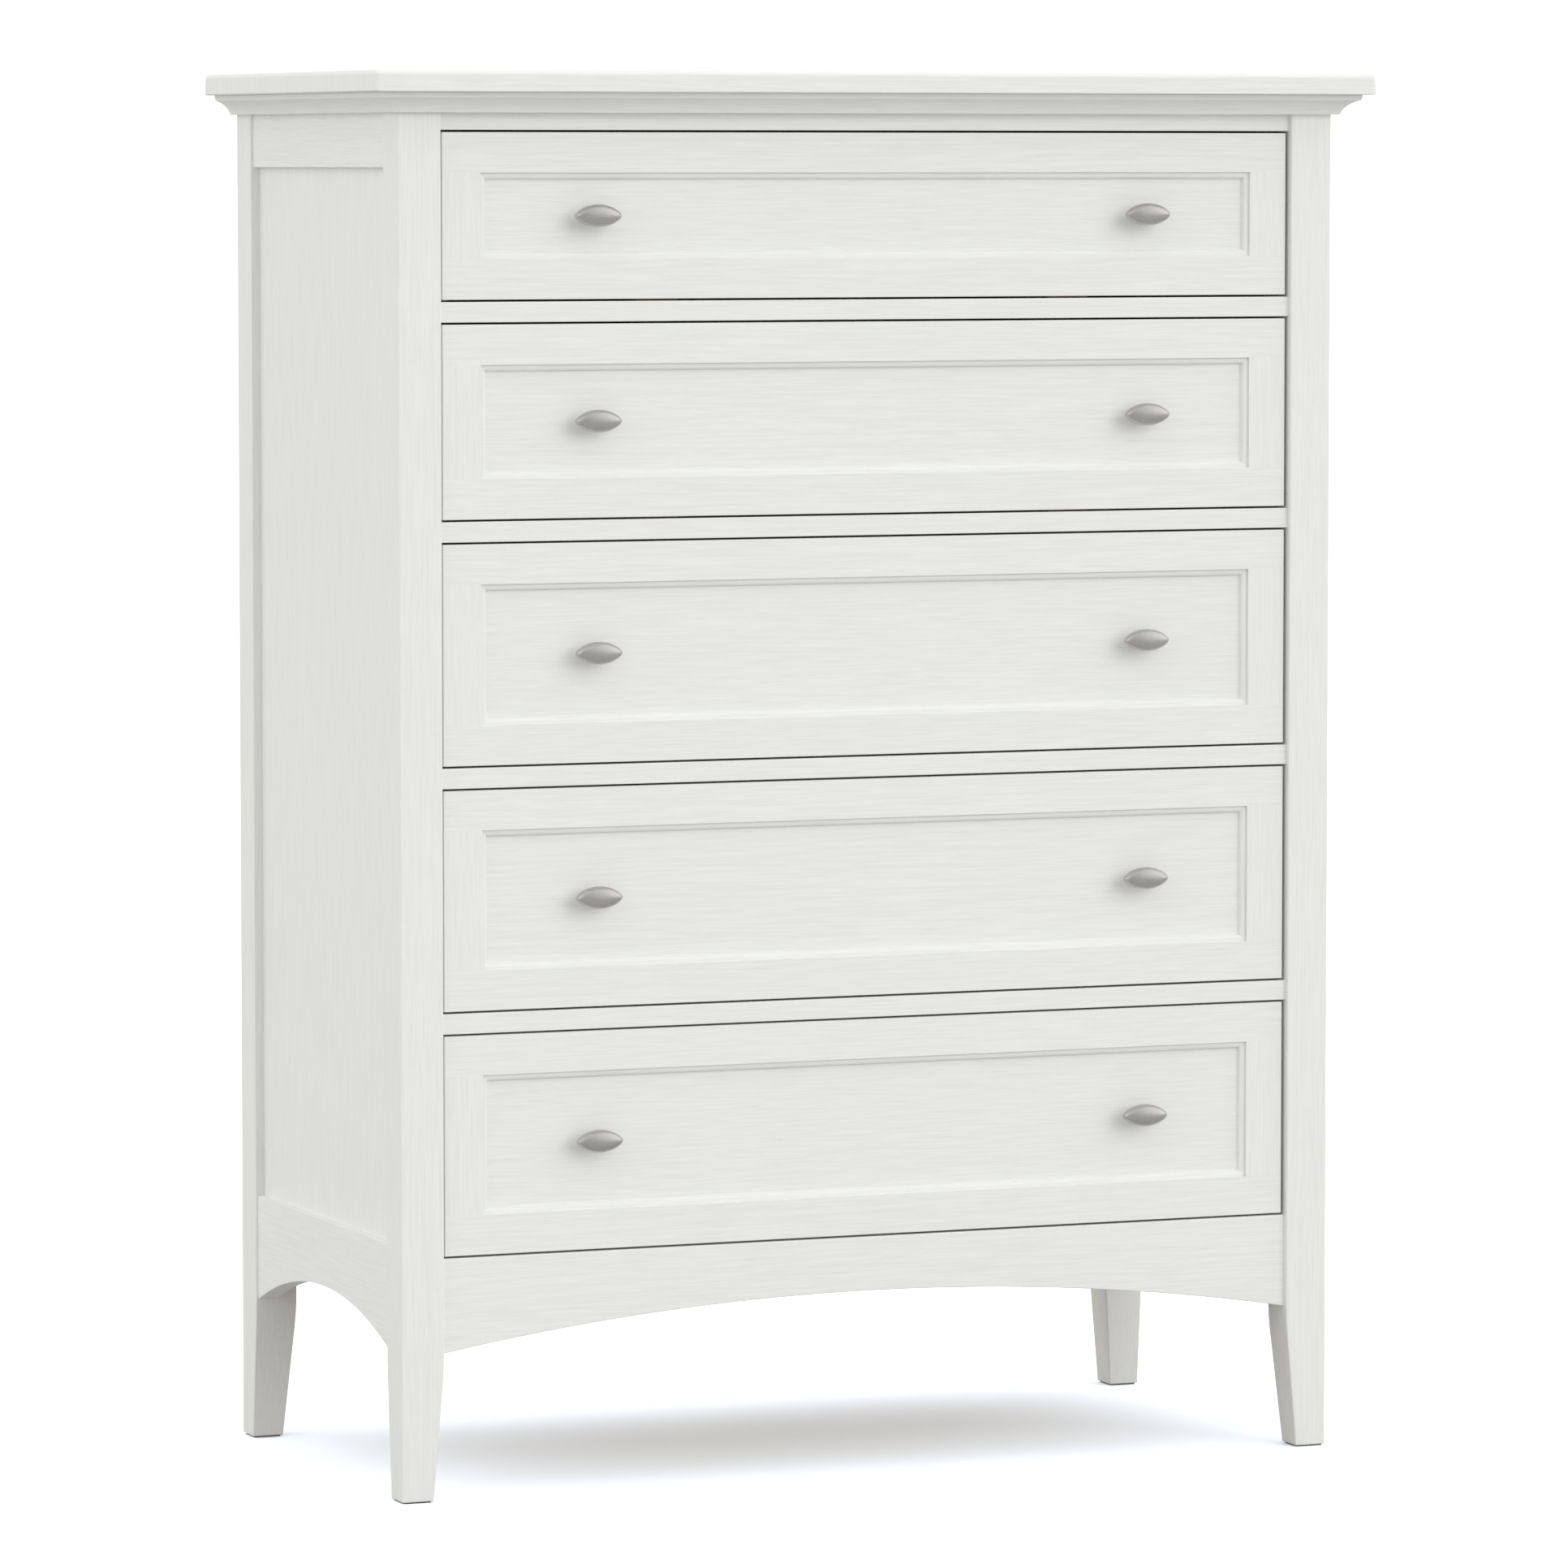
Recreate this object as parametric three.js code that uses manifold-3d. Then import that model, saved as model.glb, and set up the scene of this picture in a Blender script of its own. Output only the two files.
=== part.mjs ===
// A tall chest of five inset drawers on four tapered legs, in millimetres, +Z up.
// The front faces -Y and left is -X, as seen by someone who stands in front of the chest.
// The origin is on the floor, under the middle of the top's outline.
//
// Four square posts run from the floor to the top and carry everything else: framed sides,
// front rails, a back and five runner frames, on which the five wooden drawer boxes slide.

import * as THREE from 'three';
import { ConvexGeometry } from 'three/addons/geometries/ConvexGeometry.js';
import { mergeVertices } from 'three/addons/utils/BufferGeometryUtils.js';
import Module from 'manifold-3d';

// ---------------------------------------------------------------- driving dimensions

// Case
const bodyWidth = 903; // over the outer faces of the left and right posts
const bodyDepth = 444; // from the front posts' front face to the rear posts' rear face
const caseHeight = 1243; // from the floor to the underside of the top
const seamGap = 0.25; // left at every glued or resting joint, so that no two solids touch

// Top and crown moulding
const topThickness = 19;
const topOverhang = 31; // past the posts at the front and both sides; flush at the rear
const topCornerRadius = 4;
const crownHeight = 17.8;
const crownTopProjection = 21.4; // past the posts, under the top
const crownBottomProjection = 5.8;
const crownFilletHeight = 4.6; // the nearly upright lip above the cove
const crownFilletBatter = 1; // how far the lip leans in on its way down
const coveRadius = 20;

// Posts and legs
const postSize = 40;
const footWidth = 29.5; // the leg's width where it stands on the floor
const taperTop = 137; // height where the leg starts to taper on its two inner faces
const taperEase = 34; // height over which the taper starts as a curve
const footChamfer = 1.5;

// Sides
const sideRailSetback = 2.4; // behind the posts' outer faces
const sidePanelSetback = 8.6;
const sideRailThickness = 20;
const sidePanelThickness = 8;
const sideTopRailHeight = 66;
const sideBottomRailTop = 227.5;

// Front frame
const frontRailSetback = 5; // behind the posts' front faces
const frontRailThickness = 20;
const frontTopRailHeight = 33;
const dividerThickness = 18;
const dividerDepth = 45;
const topOpeningHeight = 150.5;
const secondOpeningHeight = 175;
const lowerDrawers = 3; // they share the rest of the height equally
const apronTop = 215.5; // where the lowest opening ends

// Arched lower edges of the apron and the side rails
const archFoot = 131; // height where each arch meets its posts
const archRise = 35.5;
const archSegments = 24;

// Back
const backSetback = 2; // behind the rear posts' rear faces
const backThickness = 8;
const rearRailThickness = 20;
const rearRailHeight = 65;

// Runner frames
const runnerThickness = 18;
const runnerWidth = 45;
const rearRunnerWidth = 40;
const dustPanelThickness = 5;
const guideWidth = 20; // the centre guide that stands on each runner frame
const guideHeight = 8;
const guideFrontGap = 4; // between the guide and the drawer front, where the guide could reach it

// Drawer fronts
const drawerFrontSetback = 6; // behind the posts' front faces
const drawerFrontThickness = 19;
const drawerEndGap = 2.75; // between a drawer front and the post beside it
const drawerEdgeGap = 1.8; // between a drawer front and the rail above or below it
const frontStileWidth = 37;
const frontRailWidth = 35.5;
const stickingWidth = 6.3; // the sloped moulding between the frame and the panel
const panelRecess = 7; // from the frame's face back to the panel's face

// Drawer boxes
const boxWall = 12;
const boxRearGap = 28; // between the box's rear and the chest's back panel
const boxTopDrop = 10; // from the drawer front's top edge down to the box sides' top edge
const backTopDrop = 4; // from the sides' top edge down to the back's top edge
const runningGap = 0.3; // under the box sides
const bottomThickness = 6;
const bottomRaise = 12; // from the runner frame up to the drawer bottom's underside

// Knobs
const knobSpacing = 532; // between the two knobs of a drawer
const knobLength = 43.6;
const knobHeight = 20;
const knobDomeDepth = 12; // from the head's flat back to its front
const knobRimMargin = 0.3; // how much larger the head's ball is than its almond outline
const knobStemLength = 13;
const knobStemRadius = 5;

// ---------------------------------------------------------------- derived places

const topWidth = bodyWidth + 2 * topOverhang;
const topDepth = bodyDepth + topOverhang;
const frontY = -topDepth / 2 + topOverhang; // front face of the front posts
const rearY = topDepth / 2; // rear face of the rear posts
const outerX = bodyWidth / 2; // outer faces of the posts
const innerX = outerX - postSize; // inner faces of the posts, the drawer opening's ends
const frontInnerY = frontY + postSize;
const rearInnerY = rearY - postSize;
const railBackY = frontY + frontRailSetback + frontRailThickness;
const backPanelY = [rearY - backSetback - backThickness, rearY - backSetback];
const drawerFaceY = frontY + drawerFrontSetback;
const drawerFrontBackY = drawerFaceY + drawerFrontThickness;
const betweenPostsX = [-innerX + seamGap, innerX - seamGap];
const betweenPostsY = [frontInnerY + seamGap, rearInnerY - seamGap];

// Heights of the five drawer openings, from the top one down, and their places as { low, high }.
const dividers = 1 + lowerDrawers;
const openHeight = caseHeight - frontTopRailHeight - dividers * dividerThickness - apronTop;
const lowerOpeningHeight = (openHeight - topOpeningHeight - secondOpeningHeight) / lowerDrawers;
const lowerOpeningHeights = Array(lowerDrawers).fill(lowerOpeningHeight);
const openings = [];
let nextTop = caseHeight - frontTopRailHeight;
for (const height of [topOpeningHeight, secondOpeningHeight, ...lowerOpeningHeights]) {
  openings.push({ low: nextTop - height, high: nextTop });
  nextTop -= height + dividerThickness;
}

// ---------------------------------------------------------------- materials

const paint = new THREE.MeshStandardMaterial({ color: 0xe6e6e1, roughness: 0.5, metalness: 0 });
const boxWood = new THREE.MeshStandardMaterial({ color: 0xd9bf94, roughness: 0.55, metalness: 0 });
const frameWood = new THREE.MeshStandardMaterial({ color: 0xcbab7c, roughness: 0.65, metalness: 0 });
const plywood = new THREE.MeshStandardMaterial({ color: 0xd3b687, roughness: 0.6, metalness: 0 });
const nickel = new THREE.MeshStandardMaterial({ color: 0xb9b5af, roughness: 0.35, metalness: 1 });

// ---------------------------------------------------------------- solids and meshes

const wasm = await Module();
wasm.setup();

/** A closed three.js geometry as a solid that can be joined and cut. */
function toSolid(geometry) {
  const bare = geometry.clone();
  bare.deleteAttribute('normal');
  bare.deleteAttribute('uv');
  const merged = mergeVertices(bare, 1e-4);
  const vertProperties = new Float32Array(merged.attributes.position.array);
  const triVerts = new Uint32Array(merged.index.array);
  return new wasm.Manifold(new wasm.Mesh({ numProp: 3, vertProperties, triVerts }));
}

/** The geometry of a solid that was joined or cut. */
function toGeometry(solid) {
  const { vertProperties, triVerts } = solid.getMesh();
  const geometry = new THREE.BufferGeometry();
  geometry.setAttribute('position', new THREE.BufferAttribute(vertProperties, 3));
  geometry.setIndex(new THREE.BufferAttribute(triVerts, 1));
  geometry.computeVertexNormals();
  return geometry;
}

const chest = new THREE.Group();

function addMesh(name, geometry, material) {
  const mesh = new THREE.Mesh(geometry, material);
  mesh.name = name;
  chest.add(mesh);
  return mesh;
}

/** A board between low and high values on each axis. */
function boardGeometry([x0, x1], [y0, y1], [z0, z1]) {
  const geometry = new THREE.BoxGeometry(x1 - x0, y1 - y0, z1 - z0);
  return geometry.translate((x0 + x1) / 2, (y0 + y1) / 2, (z0 + z1) / 2);
}

function addBoard(name, spanX, spanY, spanZ, material) {
  return addMesh(name, boardGeometry(spanX, spanY, spanZ), material);
}

const axisX = new THREE.Vector3(1, 0, 0);
const axisY = new THREE.Vector3(0, 1, 0);
const axisZ = new THREE.Vector3(0, 0, 1);
const extrudesAlongX = new THREE.Matrix4().makeBasis(axisY, axisZ, axisX);
const extrudesAlongY = new THREE.Matrix4().makeBasis(axisX, axisZ, axisY.clone().negate());

/** A prism whose outline holds (y, z) points, from x0 to x1. */
function prismAlongX(outline, [x0, x1], curveSegments = 12) {
  const options = { depth: x1 - x0, bevelEnabled: false, curveSegments };
  return new THREE.ExtrudeGeometry(outline, options).applyMatrix4(extrudesAlongX).translate(x0, 0, 0);
}

/** A prism whose outline holds (x, z) points, from y0 to y1. */
function prismAlongY(outline, [y0, y1], curveSegments = 12) {
  const options = { depth: y1 - y0, bevelEnabled: false, curveSegments };
  return new THREE.ExtrudeGeometry(outline, options).applyMatrix4(extrudesAlongY).translate(0, y1, 0);
}

// The two sides of the chest: the sign of X, and the word used in names.
const sides = [
  { sign: -1, word: 'left' },
  { sign: 1, word: 'right' },
];

/** A span on X between two distances from the chest's middle, on the given side. */
function spanOnSide(sign, near, far) {
  return sign < 0 ? [-far, -near] : [near, far];
}

// ---------------------------------------------------------------- top and crown moulding

function topOutline() {
  const x = topWidth / 2;
  const y = topDepth / 2;
  const r = topCornerRadius;
  const outline = new THREE.Shape();
  outline.moveTo(-x, -y + r);
  outline.absarc(-x + r, -y + r, r, Math.PI, 1.5 * Math.PI);
  outline.absarc(x - r, -y + r, r, 1.5 * Math.PI, 2 * Math.PI);
  outline.absarc(x - r, y - r, r, 0, 0.5 * Math.PI);
  outline.absarc(-x + r, y - r, r, 0.5 * Math.PI, Math.PI);
  return outline;
}

function addTop() {
  const options = { depth: topThickness, bevelEnabled: false, curveSegments: 5 };
  const geometry = new THREE.ExtrudeGeometry(topOutline(), options);
  addMesh('top_panel', geometry.translate(0, 0, caseHeight), paint);
}

/**
 * The crown's outer profile as points (distance past the posts, height), from the bottom up:
 * a cove that hollows out as a circular arc, then the nearly upright lip.
 */
function crownProfile() {
  const high = caseHeight - seamGap;
  const low = caseHeight - crownHeight;
  const bottom = new THREE.Vector2(crownBottomProjection, low);
  const lip = new THREE.Vector2(crownTopProjection - crownFilletBatter, caseHeight - crownFilletHeight);
  const chord = lip.clone().sub(bottom);
  const toCentre = Math.sqrt(coveRadius ** 2 - (chord.length() / 2) ** 2);
  const outward = new THREE.Vector2(chord.y, -chord.x).normalize();
  const centre = bottom.clone().add(lip).multiplyScalar(0.5).addScaledVector(outward, toCentre);
  const from = bottom.clone().sub(centre).angle();
  const to = lip.clone().sub(centre).angle();
  const cove = new THREE.EllipseCurve(centre.x, centre.y, coveRadius, coveRadius, from, to, true);
  return [...cove.getPoints(8), new THREE.Vector2(crownTopProjection, high)];
}

/**
 * One mitred moulding round the front and both sides. Where |x| and -y both stay inside the
 * profile, the corners come out mitred; the case's own outline is then cut away from its middle.
 */
function addCrown() {
  const profile = crownProfile();
  const high = caseHeight - seamGap;
  const low = caseHeight - crownHeight;
  const across = new THREE.Shape([
    ...profile.map((p) => new THREE.Vector2(outerX + p.x, p.y)),
    ...profile.toReversed().map((p) => new THREE.Vector2(-outerX - p.x, p.y)),
  ]);
  const along = new THREE.Shape([
    ...profile.map((p) => new THREE.Vector2(frontY - p.x, p.y)),
    new THREE.Vector2(rearY, high),
    new THREE.Vector2(rearY, low),
  ]);
  const reach = crownTopProjection + seamGap;
  const spanX = [-outerX - reach, outerX + reach];
  const spanY = [frontY - reach, rearY];
  const around = toSolid(prismAlongY(across, spanY)).intersect(toSolid(prismAlongX(along, spanX)));
  const middleX = [-outerX - seamGap, outerX + seamGap];
  const middleY = [frontY - seamGap, rearY + reach];
  const middle = toSolid(boardGeometry(middleX, middleY, [low - reach, high + reach]));
  addMesh('crown_moulding', toGeometry(around.subtract(middle)), paint);
}

// ---------------------------------------------------------------- posts with tapered legs

/**
 * A post's outline in one upright plane, as (distance inward, height) with its outer face at 0.
 * inward is the direction that points into the chest, 1 or -1.
 */
function postOutline(start, inward) {
  const at = (distance) => start + inward * distance;
  const taperSlope = (postSize - footWidth) / (taperTop - taperEase / 2);
  const easeLow = taperTop - taperEase;
  const outline = new THREE.Shape();
  outline.moveTo(at(footChamfer), 0);
  outline.lineTo(at(footWidth - footChamfer), 0);
  outline.lineTo(at(footWidth), footChamfer);
  outline.lineTo(at(postSize - (taperSlope * taperEase) / 2), easeLow);
  outline.quadraticCurveTo(at(postSize), taperTop - taperEase / 2, at(postSize), taperTop);
  outline.lineTo(at(postSize), caseHeight - seamGap);
  outline.lineTo(at(0), caseHeight - seamGap);
  outline.lineTo(at(0), footChamfer);
  return outline;
}

function addPosts() {
  const ends = [
    { word: 'front', face: frontY, inward: 1, spanY: [frontY, frontInnerY] },
    { word: 'rear', face: rearY, inward: -1, spanY: [rearInnerY, rearY] },
  ];
  for (const end of ends) {
    for (const { sign, word } of sides) {
      const acrossX = prismAlongY(postOutline(sign * outerX, -sign), end.spanY, 6);
      const acrossY = prismAlongX(postOutline(end.face, end.inward), spanOnSide(sign, innerX, outerX), 6);
      const post = toSolid(acrossX).intersect(toSolid(acrossY));
      addMesh(`${end.word}_${word}_post`, toGeometry(post), paint);
    }
  }
}

// ---------------------------------------------------------------- arched boards

/** A board's outline with a flat top and a circular arch below, from low to high on its length. */
function archedOutline([low, high], top) {
  const half = (high - low) / 2;
  const middle = (high + low) / 2;
  const radius = (half ** 2 + archRise ** 2) / (2 * archRise);
  const centreZ = archFoot + archRise - radius;
  const halfAngle = Math.asin(half / radius);
  const outline = new THREE.Shape();
  outline.moveTo(low, archFoot);
  outline.absarc(middle, centreZ, radius, Math.PI / 2 + halfAngle, Math.PI / 2 - halfAngle, true);
  outline.lineTo(high, top);
  outline.lineTo(low, top);
  return outline;
}

// ---------------------------------------------------------------- sides

function addSides() {
  const topRailLow = caseHeight - sideTopRailHeight;
  for (const { sign, word } of sides) {
    const railFace = outerX - sideRailSetback;
    const railX = spanOnSide(sign, railFace - sideRailThickness, railFace);
    const panelFace = outerX - sidePanelSetback;
    const panelX = spanOnSide(sign, panelFace - sidePanelThickness, panelFace);
    const panelZ = [sideBottomRailTop + seamGap, topRailLow - seamGap];
    const bottomRail = prismAlongX(archedOutline(betweenPostsY, sideBottomRailTop), railX, archSegments);
    addBoard(`${word}_top_rail`, railX, betweenPostsY, [topRailLow, caseHeight - seamGap], paint);
    addBoard(`${word}_side_panel`, panelX, betweenPostsY, panelZ, paint);
    addMesh(`${word}_bottom_rail`, bottomRail, paint);
  }
}

// ---------------------------------------------------------------- front frame and back

function addFrontFrame() {
  const faceY = frontY + frontRailSetback;
  const railY = [faceY, railBackY];
  addBoard('front_top_rail', betweenPostsX, railY, [openings[0].high, caseHeight - seamGap], paint);
  for (let i = 1; i < openings.length; i += 1) {
    const dividerZ = [openings[i].high, openings[i - 1].low];
    addBoard(`drawer_divider_${i}`, betweenPostsX, [faceY, faceY + dividerDepth], dividerZ, paint);
  }
  const apron = prismAlongY(archedOutline(betweenPostsX, apronTop), railY, archSegments);
  addMesh('front_apron', apron, paint);
}

function addBack() {
  const railHigh = apronTop;
  const railY = [rearY - backSetback - rearRailThickness, rearY - backSetback];
  addBoard('rear_bottom_rail', betweenPostsX, railY, [railHigh - rearRailHeight, railHigh], paint);
  const panelZ = [railHigh + seamGap, caseHeight - seamGap];
  addBoard('back_panel', betweenPostsX, backPanelY, panelZ, plywood);
}

// ---------------------------------------------------------------- runner frames

/**
 * One frame of runners level with a divider or the apron: a ring of four rails, with a thin dust
 * panel let into it and a centre guide standing on it.
 */
function addRunnerFrame(number, frontEdge, rearEdge, top) {
  const spanY = [frontEdge + seamGap, rearEdge - seamGap];
  const low = top - runnerThickness;
  const panelDepth = (runnerThickness - dustPanelThickness) / 2;
  const windowX = [betweenPostsX[0] + runnerWidth, betweenPostsX[1] - runnerWidth];
  const windowY = [spanY[0] + rearRunnerWidth, spanY[1] - rearRunnerWidth];
  const guideX = [-guideWidth / 2, guideWidth / 2];
  const guideY = [Math.max(spanY[0], drawerFrontBackY + guideFrontGap), spanY[1]];
  const upperWindow = boardGeometry(windowX, windowY, [top - panelDepth, top + guideHeight]);
  const lowerWindow = boardGeometry(windowX, windowY, [low - guideHeight, low + panelDepth]);
  const guide = boardGeometry(guideX, guideY, [top - panelDepth - dustPanelThickness, top + guideHeight]);
  const frame = toSolid(boardGeometry(betweenPostsX, spanY, [low, top]))
    .subtract(toSolid(upperWindow))
    .subtract(toSolid(lowerWindow))
    .add(toSolid(guide));
  addMesh(`runner_frame_${number}`, toGeometry(frame), frameWood);
}

function addRunnerFrames() {
  const dividerBackY = frontY + frontRailSetback + dividerDepth;
  const rearRailFrontY = rearY - backSetback - rearRailThickness;
  openings.forEach((opening, i) => {
    const isLowest = i === openings.length - 1;
    const frontEdge = isLowest ? railBackY : dividerBackY;
    const rearEdge = isLowest ? rearRailFrontY : backPanelY[0];
    addRunnerFrame(i + 1, frontEdge, rearEdge, opening.low);
  });
}

// ---------------------------------------------------------------- drawers

/** The pocket that leaves a frame round a drawer front's panel: it narrows towards its floor. */
function panelPocket(halfWidth, [low, high]) {
  const corners = [];
  const rims = [
    { y: drawerFaceY - panelRecess, inset: -stickingWidth }, // the slope carried on in front of the face
    { y: drawerFaceY + panelRecess, inset: stickingWidth },
  ];
  for (const { y, inset } of rims) {
    const x = halfWidth - frontStileWidth - inset;
    for (const cornerX of [-x, x]) {
      corners.push(new THREE.Vector3(cornerX, y, low + frontRailWidth + inset));
      corners.push(new THREE.Vector3(cornerX, y, high - frontRailWidth - inset));
    }
  }
  return new ConvexGeometry(corners);
}

/**
 * A knob with a level, almond-shaped head, made where its stem meets y = 0 and pointing to -Y.
 * The head is half of a flattened ball, cut to the lens that two equal arcs enclose. The ball is
 * a little larger than the lens, which leaves the lens a thin rim.
 */
function knobGeometry() {
  const arcRadius = (knobLength ** 2 / 4 + knobHeight ** 2 / 4) / knobHeight;
  const arcCentre = arcRadius - knobHeight / 2;
  const halfAngle = Math.asin(knobLength / 2 / arcRadius);
  const lens = new THREE.Shape();
  lens.absarc(0, -arcCentre, arcRadius, Math.PI / 2 + halfAngle, Math.PI / 2 - halfAngle, true);
  lens.absarc(0, arcCentre, arcRadius, -Math.PI / 2 + halfAngle, -Math.PI / 2 - halfAngle, true);
  const headBack = -knobStemLength;
  const lensPrism = prismAlongY(lens, [headBack - 2 * knobDomeDepth, headBack], 10);
  const ball = new THREE.SphereGeometry(1, 24, 12).rotateX(Math.PI / 2);
  ball.scale(knobLength / 2 + knobRimMargin, knobDomeDepth, knobHeight / 2 + knobRimMargin);
  ball.translate(0, headBack, 0);
  const stemLength = knobStemLength + knobDomeDepth / 4; // its end is buried in the head
  const stem = new THREE.CylinderGeometry(knobStemRadius, knobStemRadius, stemLength, 16);
  stem.translate(0, -stemLength / 2, 0);
  return toGeometry(toSolid(ball).intersect(toSolid(lensPrism)).add(toSolid(stem)));
}

function addDrawer(number, opening, knob) {
  const name = `drawer_${number}`;
  const halfWidth = innerX - drawerEndGap;
  const frontZ = [opening.low + drawerEdgeGap, opening.high - drawerEdgeGap];

  const blank = boardGeometry([-halfWidth, halfWidth], [drawerFaceY, drawerFrontBackY], frontZ);
  const front = toSolid(blank).subtract(toSolid(panelPocket(halfWidth, frontZ)));
  addMesh(`${name}_front`, toGeometry(front), paint);

  const boxRearY = backPanelY[0] - boxRearGap;
  const sideZ = [opening.low + runningGap, frontZ[1] - boxTopDrop];
  const sideY = [drawerFrontBackY + seamGap, boxRearY];
  for (const { sign, word } of sides) {
    addBoard(`${name}_${word}_side`, spanOnSide(sign, halfWidth - boxWall, halfWidth), sideY, sideZ, boxWood);
  }

  const betweenSidesX = [-halfWidth + boxWall + seamGap, halfWidth - boxWall - seamGap];
  const bottomZ = [opening.low + bottomRaise, opening.low + bottomRaise + bottomThickness];
  const backZ = [bottomZ[1] + seamGap, sideZ[1] - backTopDrop];
  addBoard(`${name}_back`, betweenSidesX, [boxRearY - boxWall, boxRearY], backZ, boxWood);
  addBoard(`${name}_bottom`, betweenSidesX, sideY, bottomZ, plywood);

  for (const { sign, word } of sides) {
    const mesh = addMesh(`${name}_${word}_knob`, knob.clone(), nickel);
    mesh.position.set((sign * knobSpacing) / 2, drawerFaceY + panelRecess - seamGap, (frontZ[0] + frontZ[1]) / 2);
  }
}

// ---------------------------------------------------------------- assembly

addTop();
addCrown();
addPosts();
addSides();
addFrontFrame();
addBack();
addRunnerFrames();
const knob = knobGeometry();
openings.forEach((opening, i) => addDrawer(i + 1, opening, knob));

export default chest;
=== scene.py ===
"""A tall chest of five framed drawers, in painted wood with almond-shaped nickel knobs.

Sizes are in millimetres unless a comment says otherwise. The pieces take their places from the
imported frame's boxes, and the details that a box doesn't show are named values.
"""

import math
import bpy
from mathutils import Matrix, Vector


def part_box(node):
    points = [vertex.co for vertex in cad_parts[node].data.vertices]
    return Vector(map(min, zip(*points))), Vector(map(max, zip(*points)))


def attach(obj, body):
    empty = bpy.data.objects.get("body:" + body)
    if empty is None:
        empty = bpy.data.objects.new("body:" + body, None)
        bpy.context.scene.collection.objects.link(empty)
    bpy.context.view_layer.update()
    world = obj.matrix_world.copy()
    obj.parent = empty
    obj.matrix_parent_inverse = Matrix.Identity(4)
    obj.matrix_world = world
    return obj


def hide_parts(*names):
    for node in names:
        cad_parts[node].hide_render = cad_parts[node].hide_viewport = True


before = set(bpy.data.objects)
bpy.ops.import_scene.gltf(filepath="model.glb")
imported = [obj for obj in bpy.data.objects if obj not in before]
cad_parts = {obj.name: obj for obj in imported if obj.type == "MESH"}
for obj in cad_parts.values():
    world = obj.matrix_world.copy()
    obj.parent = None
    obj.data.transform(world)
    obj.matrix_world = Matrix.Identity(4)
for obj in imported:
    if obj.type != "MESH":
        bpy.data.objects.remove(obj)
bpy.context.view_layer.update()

import zlib

import bmesh
import bpy
import numpy as np
from mathutils import Vector

MM = 0.001
AXES = {"x": 0, "y": 1, "z": 2}
SIDES = {"left": -1, "right": 1}
DRAWERS = range(1, 6)
QUARTER_TURN = math.pi / 2

scene = bpy.context.scene


def span(node):
    """A CAD node's lowest and highest corners, in millimetres."""
    low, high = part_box(node)
    return np.array(low) / MM, np.array(high) / MM


# ---------------------------------------------------------------- shader expressions


class Field:
    """One number that varies over a surface. Arithmetic on it adds Math nodes."""

    def __init__(self, finish, socket):
        self.finish = finish
        self.socket = socket

    def math(self, operation, first, second=None):
        inputs = {0: first} if second is None else {0: first, 1: second}
        return self.finish.node("Math", inputs, operation=operation)[0]

    def __add__(self, other):
        return self.math("ADD", self, other)

    __radd__ = __add__

    def __sub__(self, other):
        return self.math("SUBTRACT", self, other)

    def __rsub__(self, other):
        return self.math("SUBTRACT", other, self)

    def __mul__(self, other):
        return self.math("MULTIPLY", self, other)

    __rmul__ = __mul__

    def sine(self):
        return self.math("SINE", self)

    def root(self):
        return self.math("SQRT", self)

    def ramp(self, low, high, to_low=0.0, to_high=1.0):
        """low..high carried smoothly to to_low..to_high, and held beyond them."""
        inputs = {"Value": self, 1: low, 2: high, 3: to_low, 4: to_high}
        return self.finish.node("MapRange", inputs, interpolation_type="SMOOTHSTEP")[0]


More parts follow.
